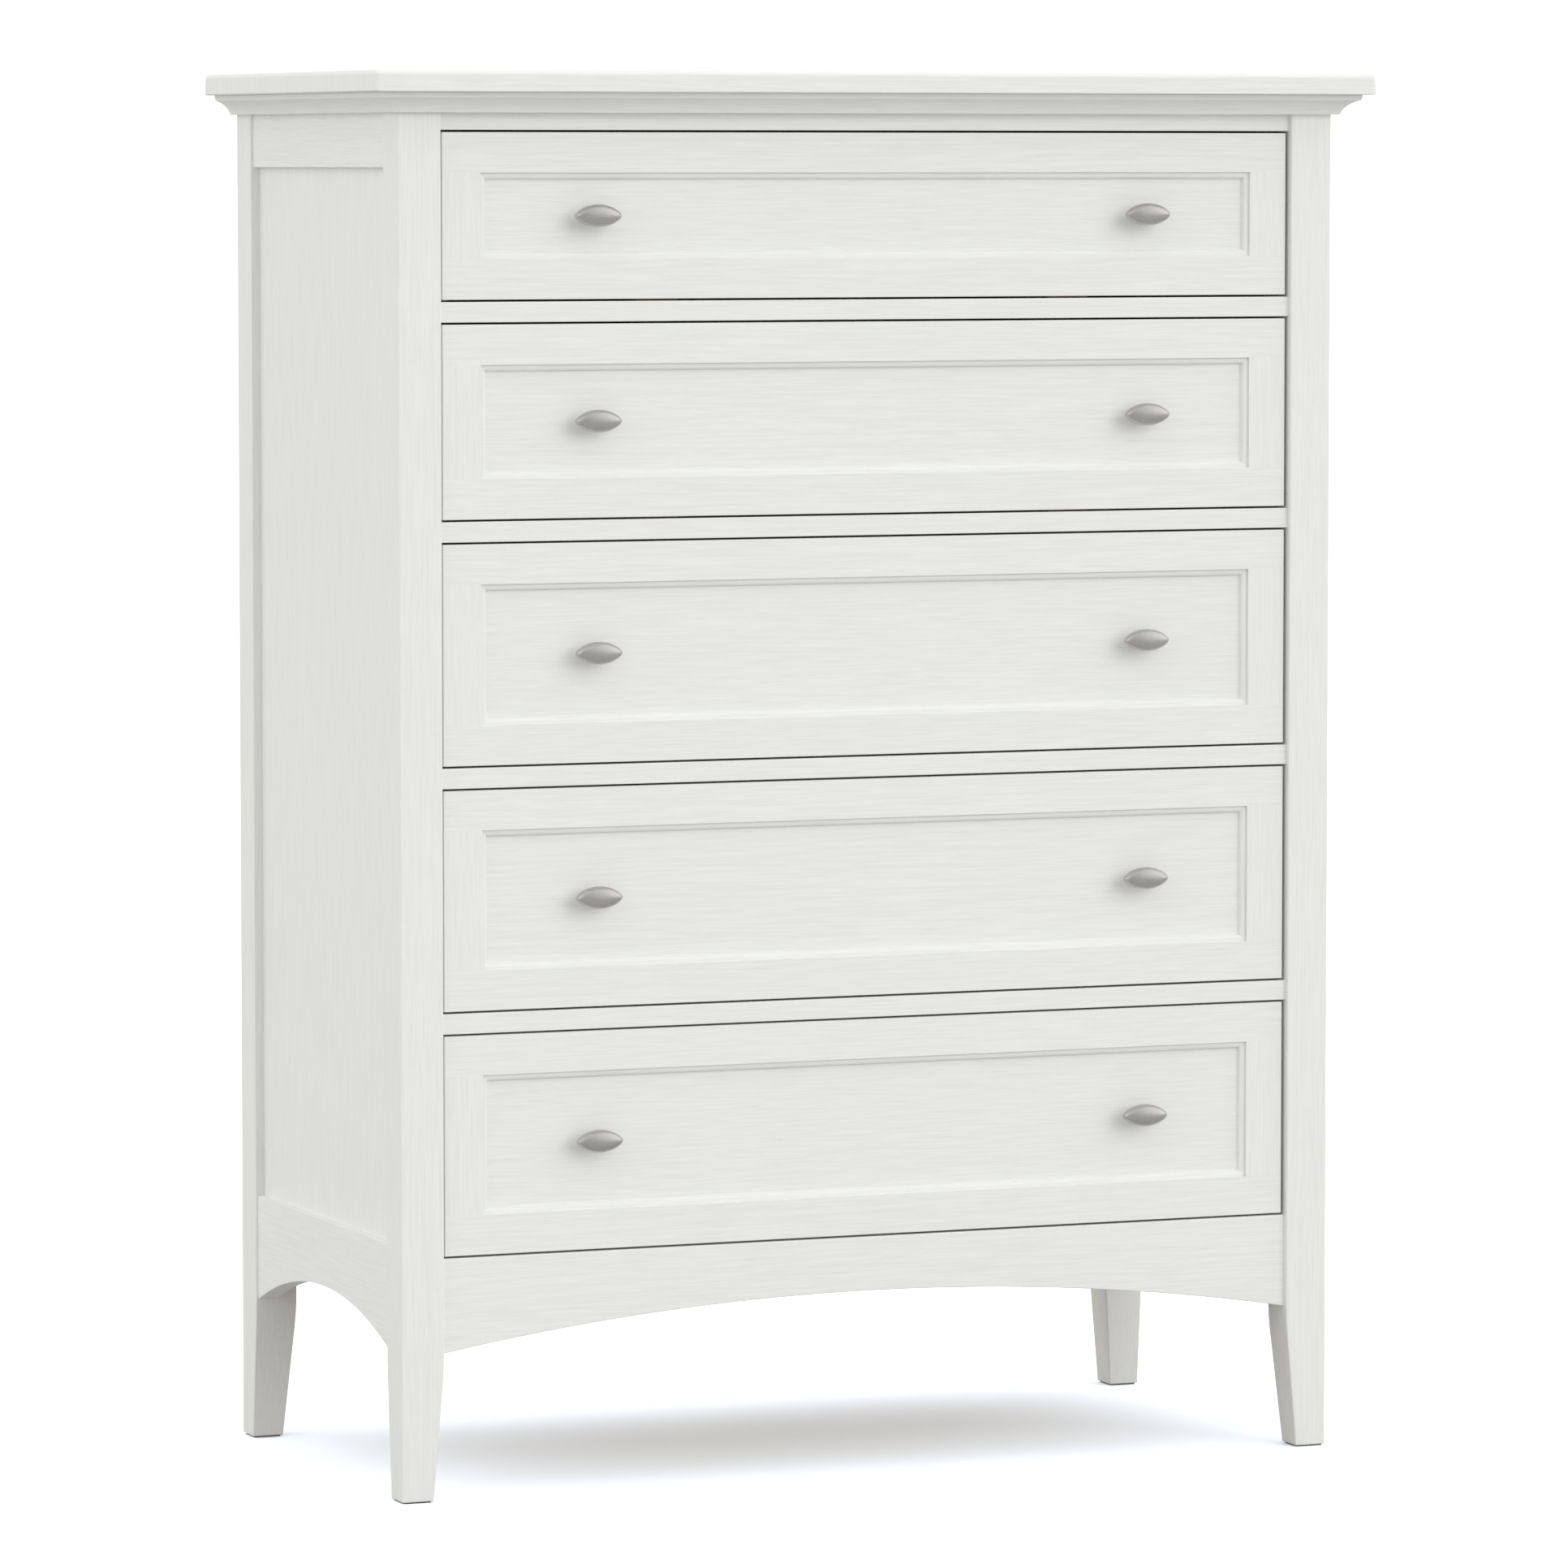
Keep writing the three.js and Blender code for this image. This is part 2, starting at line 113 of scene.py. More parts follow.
class Finish:
    """A material under construction, ending in one Principled shader."""

    def __init__(self, name, **constants):
        self.material = bpy.data.materials.new(name)
        self.material.use_nodes = True
        self.tree = self.material.node_tree
        self.tree.nodes.clear()
        self.shader = self.tree.nodes.new("ShaderNodeBsdfPrincipled")
        output = self.tree.nodes.new("ShaderNodeOutputMaterial")
        self.tree.links.new(self.shader.outputs[0], output.inputs["Surface"])
        self.finish(**constants)

    def set(self, node, key, value):
        value = value.socket if isinstance(value, Field) else value
        if isinstance(value, bpy.types.NodeSocket):
            self.tree.links.new(value, node.inputs[key])
        else:
            node.inputs[key].default_value = value

    def node(self, kind, inputs, **settings):
        """A node with its settings made first, then its sockets; gives its outputs as Fields."""
        made = self.tree.nodes.new("ShaderNode" + kind)
        for key, value in settings.items():
            setattr(made, key, value)
        for key, value in inputs.items():
            self.set(made, key, value)
        return [Field(self, socket) for socket in made.outputs]

    def noise(self, place, scale, detail=2.0, roughness=0.5, distortion=0.0):
        """Noise with so many waves a metre; detail is how many finer layers it has."""
        inputs = {"Vector": place, "Scale": scale, "Detail": detail}
        inputs.update({"Roughness": roughness, "Distortion": distortion})
        return self.node("TexNoise", inputs)[0]

    def drawn(self, place, along, across, detail=2.0, roughness=0.5, distortion=0.0):
        """Noise drawn out along the grain: its waves a metre along it, and across it."""
        inputs = {0: place, 1: (along, across, across)}
        stretched = self.node("VectorMath", inputs, operation="MULTIPLY")[0]
        return self.noise(stretched, 1.0, detail, roughness, distortion)

    def split(self, vector):
        return self.node("SeparateXYZ", {0: vector})

    def blend(self, factor, first, second):
        """A colour mix; the colours are triples or Fields."""
        inputs = {0: factor, 6: as_colour(first), 7: as_colour(second)}
        return self.node("Mix", inputs, data_type="RGBA")[2]

    def grain(self):
        """The board's own coordinates in metres: along the grain, then the two across it."""
        return self.node("Attribute", {}, attribute_name="grain")[1]

    def bump(self, height, distance, strength, under=None):
        """A normal from a height of 0 to 1 that stands for the distance, in metres."""
        inputs = {"Height": height, "Distance": distance, "Strength": strength}
        if under is not None:
            inputs["Normal"] = under
        return self.node("Bump", inputs)[0]

    def finish(self, **values):
        """Feeds the shader's sockets, named with _ for each space; gives the material."""
        for socket, value in values.items():
            self.set(self.shader, socket.replace("_", " "), value)
        return self.material


def as_colour(value):
    return value if isinstance(value, Field) else (*value, 1.0)


def linear(red, green, blue):
    """A display colour, each part from 0 to 255, as scene-linear numbers."""
    parts = np.array([red, green, blue]) / 255
    low = parts / 12.92
    high = ((parts + 0.055) / 1.055) ** 2.4
    return tuple(np.where(parts <= 0.04045, low, high).tolist())


# ---------------------------------------------------------------- finishes


def painted_wood():
    """Off-white satin lacquer, brushed along the grain, that lets the pores show faintly."""
    f = Finish("white_painted_wood", IOR=1.46, Coat_Roughness=0.25)
    place = f.grain()
    streaks = f.drawn(place, 18, 520, 2.0, 0.55, 0.15)
    strokes = f.drawn(place, 8, 180, 2.0, 0.5, 0.2)
    pores = f.drawn(place, 26, 1200, 2.0, 0.6).ramp(0.58, 0.72)
    cloud = f.noise(place, 5.0, 3.0, 0.55)
    tone = streaks * 0.78 + strokes * 0.12 + cloud * 0.1
    pale = f.blend(tone.ramp(0.36, 0.64), PAINT_SHADE, PAINT_LIGHT)
    colour = f.blend(pores * 0.2, pale, PAINT_PORE)
    skin = f.noise(place, 900.0, 1.0, 0.5)
    grooves = f.bump(streaks - pores * 0.5, 0.00012, 0.55)
    normal = f.bump(skin, 0.00003, 0.35, grooves)
    return f.finish(
        Base_Color=colour,
        Roughness=(streaks * 0.6 + cloud * 0.4).ramp(0.3, 0.7, 0.4, 0.52),
        Coat_Weight=strokes.ramp(0.3, 0.7, 0.02, 0.1),
        Normal=normal,
    )


def bare_wood(name, early, late, pore, ring_width, figure, roughness):
    """Bare wood. The rings are a sine of the distance from a pith line beside the board, bent by
    slow noise along the grain; finer noise stretched along the grain gives fibres and pores."""
    f = Finish(name, IOR=1.45)
    place = f.grain()
    sway = f.drawn(place, 2.2, 9, 3.0, 0.55)
    _, across, through = f.split(place)
    reach = (across * across + (through + 0.07) * (through + 0.07)).root()
    rings = ((reach + sway * figure) * (2 * math.pi / ring_width)).sine() * 0.5 + 0.5
    fibres = f.drawn(place, 14, 520, 3.0, 0.6, 0.2)
    flecks = f.drawn(place, 45, 1500, 1.0, 0.5).ramp(0.62, 0.75)
    cloud = f.noise(place, 6.0, 2.0, 0.5)
    wood = f.blend(rings.ramp(0.15, 0.95) * 0.62 + cloud * 0.3, early, late)
    wood = f.blend(fibres.ramp(0.35, 0.75) * 0.3, wood, late)
    wood = f.blend(flecks * 0.45, wood, pore)
    return f.finish(
        Base_Color=wood,
        Roughness=(fibres * 0.6 + rings * 0.4).ramp(0.1, 0.9, roughness - 0.06, roughness + 0.08),
        Normal=f.bump(fibres * 0.7 + rings * 0.15 - flecks * 0.6, 0.00016, 0.5),
    )


def plywood_finish():
    """Rotary-cut birch. Its broad watery figure is the sine of slow noise."""
    f = Finish("birch_plywood", IOR=1.45)
    place = f.grain()
    sway = f.drawn(place, 1.6, 7, 4.0, 0.6, 0.6)
    bands = (sway * 46.0).sine() * 0.5 + 0.5
    fibres = f.drawn(place, 16, 480, 3.0, 0.6, 0.2)
    flecks = f.drawn(place, 60, 1300, 1.0, 0.5).ramp(0.63, 0.74)
    face = f.blend(bands.ramp(0.1, 0.95) * 0.5, BIRCH_EARLY, BIRCH_LATE)
    face = f.blend(fibres.ramp(0.35, 0.75) * 0.32, face, BIRCH_FIBRE)
    face = f.blend(flecks * 0.4, face, BIRCH_PORE)
    return f.finish(
        Base_Color=face,
        Roughness=fibres.ramp(0.2, 0.8, 0.5, 0.64),
        Normal=f.bump(fibres * 0.7 - flecks * 0.5, 0.00014, 0.5),
    )


def nickel_finish():
    """Brushed nickel: hairlines along the knob's length, and slow changes in how well it shines."""
    f = Finish("brushed_nickel", Metallic=1.0)
    place = f.grain()
    hairs = f.drawn(place, 60, 5200, 2.0, 0.6)
    cloud = f.noise(place, 70.0, 3.0, 0.55)
    colour = f.blend(hairs.ramp(0.3, 0.7) * 0.6 + cloud * 0.3, NICKEL_DARK, NICKEL_LIGHT)
    return f.finish(
        Base_Color=colour,
        Roughness=(hairs * 0.5 + cloud * 0.5).ramp(0.3, 0.7, 0.34, 0.42),
        Normal=f.bump(hairs, 0.00002, 0.35),
    )


def screw_finish():
    """Zinc-plated steel, a little dull where it was driven."""
    f = Finish("zinc_plated_steel", Metallic=1.0)
    place = f.grain()
    scuffs = f.noise(place, 900.0, 3.0, 0.6)
    cloud = f.noise(place, 160.0, 2.0, 0.5)
    colour = f.blend(cloud.ramp(0.35, 0.65), ZINC_DARK, ZINC_LIGHT)
    return f.finish(
        Base_Color=colour,
        Roughness=scuffs.ramp(0.3, 0.7, 0.3, 0.5),
        Normal=f.bump(scuffs, 0.00003, 0.4),
    )


def glide_and_foot_shade_finish():
    """Dark felt-faced nylon, under the feet. The dark colour is partly painted shade: it also
    stands for the contact shadow along the bottom of each foot.
    """
    f = Finish("dark_glide_and_painted_foot_shade", IOR=1.5)
    place = f.grain()
    fuzz = f.noise(place, 1400.0, 4.0, 0.65)
    colour = f.blend(fuzz.ramp(0.3, 0.7), GLIDE_AND_FOOT_SHADE_DARK, GLIDE_AND_FOOT_SHADE_LIGHT)
    return f.finish(
        Base_Color=colour,
        Roughness=fuzz.ramp(0.3, 0.7, 0.7, 0.92),
        Normal=f.bump(fuzz, 0.0001, 0.6),
    )


PAINT_LIGHT = linear(239, 240, 236)
PAINT_SHADE = linear(234, 235, 230)
PAINT_PORE = linear(212, 211, 203)
NICKEL_DARK = linear(176, 173, 168)
NICKEL_LIGHT = linear(212, 210, 205)
BIRCH_EARLY = linear(224, 200, 161)
BIRCH_LATE = linear(205, 174, 131)
BIRCH_FIBRE = linear(196, 163, 119)
BIRCH_PORE = linear(158, 122, 84)
ZINC_DARK = linear(150, 148, 140)
ZINC_LIGHT = linear(190, 189, 182)
# Partly painted shade: the glides' dark colour also draws the dark contact line under each foot.
GLIDE_AND_FOOT_SHADE_DARK = linear(58, 57, 55)
GLIDE_AND_FOOT_SHADE_LIGHT = linear(84, 82, 79)

PAINT = painted_wood()
BOX_WOOD = bare_wood(
    "maple_drawer_wood",
    early=linear(228, 205, 168),
    late=linear(207, 175, 132),
    pore=linear(168, 132, 92),
    ring_width=0.0052,
    figure=0.02,
    roughness=0.5,
)
FRAME_WOOD = bare_wood(
    "pine_frame_wood",
    early=linear(222, 193, 147),
    late=linear(193, 151, 100),
    pore=linear(150, 108, 66),
    ring_width=0.0075,
    figure=0.028,
    roughness=0.6,
)
PLYWOOD = plywood_finish()
NICKEL = nickel_finish()
STEEL = screw_finish()
GLIDE_AND_FOOT_SHADE = glide_and_foot_shade_finish()

# ---------------------------------------------------------------- surfaces and pieces

WELD = 2e-6  # metres
CREASE = 38  # degrees; faces that meet more sharply than this are shaded apart
END_FACE = 0.75  # the cosine past which a face counts as crossing the grain
SHIFTS_PER_METRE = (7.0, 900.0, 900.0)  # along, across and through the grain
BOARD_EASE = 0.8  # the radius of a board's edges
RAIL_EASE = 0.9
PANEL_EASE = 0.4
SEAT = 0.1  # how far a piece is let into the one that it sits on
LAP = 0.2  # how far a frame's members run into each other
CLEAR = 0.3  # between pieces that are fitted close but don't touch


def grid_faces(rows, columns):
    """The quads between neighbouring rows of a grid whose last column meets its first."""
    row = np.arange(rows - 1)[:, None]
    column = np.arange(columns)[None, :]
    beside = (column + 1) % columns
    here, there = row * columns, (row + 1) * columns
    quads = np.stack([here + column, here + beside, there + beside, there + column], -1)
    return quads.reshape(-1, 4).tolist()


def loft(rings):
    """Verts and faces of a closed skin over a stack of rings, an array (ring, point, xyz), with a
    polygon over the first ring and over the last."""
    rows, columns = rings.shape[:2]
    faces = grid_faces(rows, columns)
    first = list(range(columns))
    faces += [first[::-1], [(rows - 1) * columns + i for i in first]]
    return rings.reshape(-1, 3), faces


def joined(parts):
    """Several (verts, faces) pairs as one pair."""
    verts, faces, start = [], [], 0
    for part_verts, part_faces in parts:
        verts.append(np.asarray(part_verts, float))
        faces += [[i + start for i in face] for face in part_faces]
        start += len(part_verts)
    return np.concatenate(verts), faces


def set_grain(mesh, name, axis, turned_ends):
    """Writes each face corner's place along and across the grain, moved by three remainders of
    the name's checksum, so that no two boards show the same figure. turned_ends swaps the along
    and upright places on the faces that cross the grain, so that their strokes run upright."""
    places = np.zeros(len(mesh.vertices) * 3)
    mesh.vertices.foreach_get("co", places)
    places = np.roll(places.reshape(-1, 3), -AXES[axis], axis=1)
    key, along = divmod(zlib.crc32(name.encode()), 97)
    key, across = divmod(key, 89)
    shift = np.array([along, across, key % 83]) / SHIFTS_PER_METRE
    middle = (places.min(0) + places.max(0)) / 2
    corners = np.zeros(len(mesh.loops), int)
    mesh.loops.foreach_get("vertex_index", corners)
    grain = (places - middle)[corners]
    if turned_ends:
        facing = np.zeros(len(mesh.polygons) * 3)
        mesh.polygons.foreach_get("normal", facing)
        sizes = np.zeros(len(mesh.polygons), int)
        mesh.polygons.foreach_get("loop_total", sizes)
        crossing = np.abs(facing.reshape(-1, 3)[:, AXES[axis]]) > END_FACE
        crossing = np.repeat(crossing, sizes)
        grain[crossing] = grain[crossing][:, [2, 1, 0]]
    attribute = mesh.attributes.new("grain", "FLOAT_VECTOR", "CORNER")
    attribute.data.foreach_set("vector", (grain + shift).astype(np.float32).ravel())


def make_mesh(name, verts, faces):
    """A welded mesh with its faces outwards, from verts in millimetres."""
    mesh = bpy.data.meshes.new(name)
    mesh.from_pydata((np.asarray(verts) * MM).tolist(), [], faces)
    weld = bmesh.new()
    weld.from_mesh(mesh)
    bmesh.ops.remove_doubles(weld, verts=weld.verts, dist=WELD)
    bmesh.ops.recalc_face_normals(weld, faces=weld.faces)
    weld.to_mesh(mesh)
    weld.free()
    return mesh


def cut_away(mesh, cutters):
    """The mesh less each cutter, by exact booleans."""
    holder = bpy.data.objects.new("cut_holder", mesh)
    scene.collection.objects.link(holder)
    knives = []
    for i, cutter in enumerate(cutters):
        knife = bpy.data.objects.new(f"cut_knife_{i}", cutter)
        scene.collection.objects.link(knife)
        knives.append(knife)
        boolean = holder.modifiers.new(f"cut_{i}", "BOOLEAN")
        boolean.operation = "DIFFERENCE"
        boolean.solver = "EXACT"
        boolean.object = knife
    graph = bpy.context.evaluated_depsgraph_get()
    result = bpy.data.meshes.new_from_object(holder.evaluated_get(graph))
    for thing in [holder, *knives]:
        bpy.data.objects.remove(thing)
    return result


def add_piece(name, mesh, body, finish, stands_for=None, grain="x", crease=CREASE, even=True):
    """Puts a finished mesh into the scene on its body, in place of the CAD node that it stands
    for. even weights each point's normal by the size of the faces round it, which keeps flat
    faces flat beside eased edges."""
    mesh.name = name
    mesh.materials.clear()
    mesh.materials.append(finish)
    mesh.polygons.foreach_set("use_smooth", np.ones(len(mesh.polygons), bool))
    mesh.set_sharp_from_angle(angle=math.radians(crease))
    set_grain(mesh, name, grain, finish is PAINT)
    piece = bpy.data.objects.new(name, mesh)
    scene.collection.objects.link(piece)
    if even:
        weighted = piece.modifiers.new("even_normals", "WEIGHTED_NORMAL")
        weighted.weight = 100
        weighted.keep_sharp = True
    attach(piece, body)
    if stands_for:
        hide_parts(stands_for)


def bar(axis, length, first, second, ease, sharp=(), stations=(), turns=3, low_ease=None):
    """Rings of a bar along one axis.

    Its section is a rectangle over the next two axes, with a quarter turn of radius ease at each
    corner. At both ends the section draws in by ease(1 - sin t) while it advances by
    ease(1 - cos t), so the end edges are eased in the same way. The four sides may be functions
    of the place along the bar, sampled at the stations that lie clear of the eased ends. sharp
    holds the sides ("first0", "second1") and the ends ("end0", "end1") that keep their square
    edges, as at a joint. low_ease, if given, is the radius of the two corners on the second
    axis's low side.
    """
    quarter = np.linspace(0, QUARTER_TURN, turns + 1)
    inset, swell = ease * (1 - np.cos(quarter)), np.sin(quarter)
    start, stop = length
    middle = [s for s in stations if start + 1.2 * ease < s < stop - 1.2 * ease]
    places = [start + inset, middle, stop - inset[::-1]]
    radii = [swell, np.ones(len(middle)), swell[::-1]]
    if "end0" in sharp:
        places[0], radii[0] = [start], [1.0]
    if "end1" in sharp:
        places[2], radii[2] = [stop], [1.0]
    places, radii = np.concatenate(places), np.concatenate(radii)

    def side(value):
        return value(places) if callable(value) else np.full(len(places), float(value))

    corners = [(1, 1), (0, 1), (0, 0), (1, 0)]
    loops = []
    for i, (a, b) in enumerate(corners):
        turn = quarter + i * QUARTER_TURN
        corner = low_ease if low_ease and not b else ease
        ease_a = 0.0 if f"first{a}" in sharp else corner
        ease_b = 0.0 if f"second{b}" in sharp else corner
        centre_a = side(first[a]) - (2 * a - 1) * ease_a
        centre_b = side(second[b]) - (2 * b - 1) * ease_b
        loop_a = centre_a[:, None] + ease_a * radii[:, None] * np.cos(turn)
        loop_b = centre_b[:, None] + ease_b * radii[:, None] * np.sin(turn)
        loops.append(np.stack([loop_a, loop_b], -1))
    section = np.concatenate(loops, 1)
    along = np.broadcast_to(places[:, None, None], (*section.shape[:2], 1))
    rings = np.concatenate([along, section], -1)
    return np.roll(rings, AXES[axis], axis=2)


def bar_mesh(name, *args, **options):
    return make_mesh(name, *loft(bar(*args, **options)))


def board(name, pair, body, finish, stands_for, grain, ease=BOARD_EASE, cutters=(), **shape):
    """A straight board between a pair of corners, with its length on the grain's axis."""
    own = AXES[grain]
    sides = [(pair[0][i % 3], pair[1][i % 3]) for i in range(own, own + 3)]
    mesh = bar_mesh(name, grain, *sides, ease, **shape)
    if cutters:
        mesh = cut_away(mesh, cutters)
    add_piece(name, mesh, body, finish, stands_for, grain)


def on_side(sign, first, second):
    """The two ends of a stretch of x on one side of the chest, from their distances from its
    middle, the lower one first."""
    return sorted((sign * first, sign * second))


def changed(low, high, **moves):
    """Copies of two corners with some coordinates replaced, as x=(low, high)."""
    low, high = np.array(low, float), np.array(high, float)
    for axis, (start, stop) in moves.items():
        low[AXES[axis]], high[AXES[axis]] = start, stop
    return low, high


# ---------------------------------------------------------------- top

TOP_EASE = 4.5
TOP_LOW_EASE = 1.2

top = span("top_panel")
top_shape = {"turns": 7, "low_ease": TOP_LOW_EASE}
board("top_panel_board", top, "carcass", PAINT, "top_panel", "x", TOP_EASE, **top_shape)

# ---------------------------------------------------------------- posts with tapered legs

POST_EASE = 1.3
TAPER_SLOPE = 0.0875  # how fast a leg widens on its way up
TAPER_MIDDLE = 120.0  # the height where the straight taper would meet the post's own width
TAPER_SOFT = 17.0  # half the height over which the taper starts
TAPER_BEND = np.linspace(TAPER_MIDDLE - TAPER_SOFT, TAPER_MIDDLE + TAPER_SOFT, 9)
POST_STATIONS = [40.0, *TAPER_BEND, 600.0]
GLIDE_HEIGHT = 1.1
GLIDE_INSET = 2.2
GLIDE_EASE = 0.5


def taper(z):
    """How far a leg's inner face is drawn in from the post's: the slope times the drop below the
    taper's start, begun by a parabola so that it starts softly."""
    drop = TAPER_MIDDLE - z
    soft = (drop + TAPER_SOFT) ** 2 / (4 * TAPER_SOFT)
    return TAPER_SLOPE * np.where(drop > TAPER_SOFT, drop, np.where(drop > -TAPER_SOFT, soft, 0))


def post_sides(low, high, inward):
    """The two faces of a post on one axis; the inner one tapers. inward is 1 or -1."""
    if inward > 0:
        return low, lambda z: high - taper(z)
    return lambda z: low + taper(z), high


def foot_sides(low, high, inward):
    """The two sides of the glide under a post, in from the tapered foot's faces."""
    narrowing = TAPER_SLOPE * TAPER_MIDDLE
    if inward > 0:
        return low + GLIDE_INSET, high - narrowing - GLIDE_INSET
    return low + narrowing + GLIDE_INSET, high - GLIDE_INSET


def add_post(node, inward_x, inward_y):
    low, high = span(node)
    x, y = (post_sides(low[i], high[i], way) for i, way in enumerate((inward_x, inward_y)))
    length = (low[2] + GLIDE_HEIGHT - SEAT, high[2])
    mesh = bar_mesh(node, "z", length, x, y, POST_EASE, stations=POST_STATIONS)
    add_piece(f"{node}_leg", mesh, "carcass", PAINT, node, "z")
    x, y = (foot_sides(low[i], high[i], way) for i, way in enumerate((inward_x, inward_y)))
    # The dark glide is partly painted shade: it draws a dark line under the foot where its contact
    # shadow falls.
    name = f"{node}_glide"
    mesh = bar_mesh(name, "z", (low[2], low[2] + GLIDE_HEIGHT), x, y, GLIDE_EASE)
    add_piece(name, mesh, "carcass", GLIDE_AND_FOOT_SHADE)


for end, inward_y in (("front", 1), ("rear", -1)):
    for word, sign in SIDES.items():
        add_post(f"{end}_{word}_post", -sign, inward_y)

post_low, post_high = span("front_left_post")
rear_low, rear_high = span("rear_left_post")
FRONT_FACE = post_low[1]
FRONT_POST_BACK = post_high[1]
REAR_POST_FRONT = rear_low[1]
REAR_FACE = rear_high[1]
INNER_X = -post_high[0]
OUTER_X = -post_low[0]

# ---------------------------------------------------------------- arched boards

ARCH_FOOT = 131.0
ARCH_RISE = 35.5
ARCH_STATIONS = 48
JOINT = 1.0  # how far a rail runs into the post that it meets
PANEL_TONGUE = 6.0  # how far a panel runs into the grooves of its frame

between_posts_x = (-INNER_X - JOINT, INNER_X + JOINT)
between_posts_y = (FRONT_POST_BACK - JOINT, REAR_POST_FRONT + JOINT)


def arch(half_span, middle):
    """The underside's height at each place along a board: a circular arc that stands on both of
    the arch's feet, rises between them, and is level beyond them."""
    radius = (half_span**2 + ARCH_RISE**2) / (2 * ARCH_RISE)

    def height(place):
        away = np.clip(place - middle, -half_span, half_span)
        return ARCH_FOOT + ARCH_RISE - radius + np.sqrt(radius**2 - away**2)

    return height


apron_low, apron_high = span("front_apron")
apron_shape = ((apron_low[1], apron_high[1]), (arch(INNER_X, 0.0), apron_high[2]), RAIL_EASE)
stations = np.linspace(*between_posts_x, ARCH_STATIONS)
mesh = bar_mesh("front_apron_board", "x", between_posts_x, *apron_shape, stations=stations)
add_piece("front_apron_board", mesh, "carcass", PAINT, "front_apron")

# ---------------------------------------------------------------- sides

side_half = (REAR_POST_FRONT - FRONT_POST_BACK) / 2
side_arch = arch(side_half, FRONT_POST_BACK + side_half)
stations = np.linspace(*between_posts_y, ARCH_STATIONS)

for word in SIDES:
    node = f"{word}_top_rail"
    pair = changed(*span(node), y=between_posts_y)
    board(f"{word}_side_top_rail", pair, "carcass", PAINT, node, "y")
    node = f"{word}_side_panel"
    low, high = span(node)
    pair = changed(low, high, y=between_posts_y, z=(low[2] - PANEL_TONGUE, high[2] + PANEL_TONGUE))
    board(f"{node}_board", pair, "carcass", PAINT, node, "z")
    low, high = span(f"{word}_bottom_rail")
    name = f"{word}_side_bottom_rail"
    rail_shape = ((side_arch, high[2]), (low[0], high[0]), RAIL_EASE)
    mesh = bar_mesh(name, "y", between_posts_y, *rail_shape, stations=stations)
    add_piece(name, mesh, "carcass", PAINT, f"{word}_bottom_rail", "y")

# ---------------------------------------------------------------- front frame

for node in ["front_top_rail", *(f"drawer_divider_{k}" for k in range(1, 5))]:
    pair = changed(*span(node), x=between_posts_x)
    board(f"{node}_board", pair, "carcass", PAINT, node, "x")

# ---------------------------------------------------------------- back

BACK_EASE = 0.5

pair = changed(*span("rear_bottom_rail"), x=between_posts_x)
board("rear_bottom_rail_board", pair, "carcass", PAINT, "rear_bottom_rail", "x")
pair = changed(*span("back_panel"), x=between_posts_x)
board("back_panel_board", pair, "carcass", PLYWOOD, "back_panel", "z", BACK_EASE)

SCREW_POINTS = 24
LOBE_NARROW = 0.16  # of the radius
LOBE_SWING = 0.34
# (share of the radius, share of the rise) up the dome, then (share of the lobes, share of the
# rise) down the recess
SCREW_DOME = ((1.0, 0.0), (1.0, 0.25), (0.9, 0.62), (0.72, 0.88))
SCREW_RECESS = ((1.15, 1.0), (1.0, 0.95), (0.5, 0.35))


def screw_head(radius, rise):
    """A dome-headed screw about +Y, made of rings: a low dome, then a cross-shaped recess whose
    rim's radius swings between a narrow and a wide value four times a turn."""
    angle = np.linspace(0, 2 * math.pi, SCREW_POINTS, endpoint=False)
    lobes = LOBE_NARROW + LOBE_SWING * np.abs(np.cos(2 * angle)) ** 3
    rings = [np.full(SCREW_POINTS, share) for share, _ in SCREW_DOME]
    rings += [lobes * share for share, _ in SCREW_RECESS]
    heights = np.array([height for _, height in SCREW_DOME + SCREW_RECESS])
    out = np.array(rings) * radius
    up = np.repeat(heights[:, None] * rise, SCREW_POINTS, 1)
    return np.stack([out * np.cos(angle), up, out * np.sin(angle)], -1)


def screws(name, places, body, radius=3.8, rise=1.6):
    """Screw heads at places (x, y, z), facing +Y."""
    parts = [loft(screw_head(radius, rise) + np.array(place)) for place in places]
    add_piece(name, make_mesh(name, *joined(parts)), body, STEEL, even=False)


SCREW_SINK = 0.3  # how far the back's screws are driven into it
SCREWS_FROM_SIDE = 9.0
SCREWS_FROM_TOP = 12.0
SCREWS_FROM_RAIL = 10.0
SIDE_ROWS_INSET = 30.0  # from the panel's ends to the first screws down its sides
ACROSS_INSET = 120.0  # from the posts to the first screws along its ends

back_low, back_high = span("back_panel")
screw_x = INNER_X - SCREWS_FROM_SIDE
screw_y = back_high[1] - SCREW_SINK
rows_z = np.linspace(back_low[2] + SIDE_ROWS_INSET, back_high[2] - SIDE_ROWS_INSET, 7)
columns_x = np.linspace(-INNER_X + ACROSS_INSET, INNER_X - ACROSS_INSET, 4)
back_places = [(sign * screw_x, screw_y, z) for z in rows_z for sign in (-1, 1)]
back_places += [(x, screw_y, back_high[2] - SCREWS_FROM_TOP) for x in columns_x]
back_places += [(x, screw_y, back_low[2] + SCREWS_FROM_RAIL) for x in columns_x]
screws("back_panel_screws", back_places, "carcass")

# ---------------------------------------------------------------- crown moulding

CROWN_LIP = 5.0  # the height of the lip under the top
CROWN_QUIRK = 0.7  # how far the cove starts behind the lip
CROWN_BATTER = 0.7  # how far the lip leans out on its way up
CROWN_BOTTOM = 5.8  # how far the flat underside stands out from the posts
CROWN_CREASE = 30
COVE_RADIUS = 20.0
COVE_STEPS = 12
ROOF_GAP = 0.02  # under the top
FRONT_CROWN_BACK = 5.2  # how far the moulding reaches behind the posts' faces
SIDE_CROWN_BACK = 2.8

crown_low, crown_high = span("crown_moulding")
CROWN_TOP = crown_high[0] - OUTER_X
crown_roof = top[0][2]


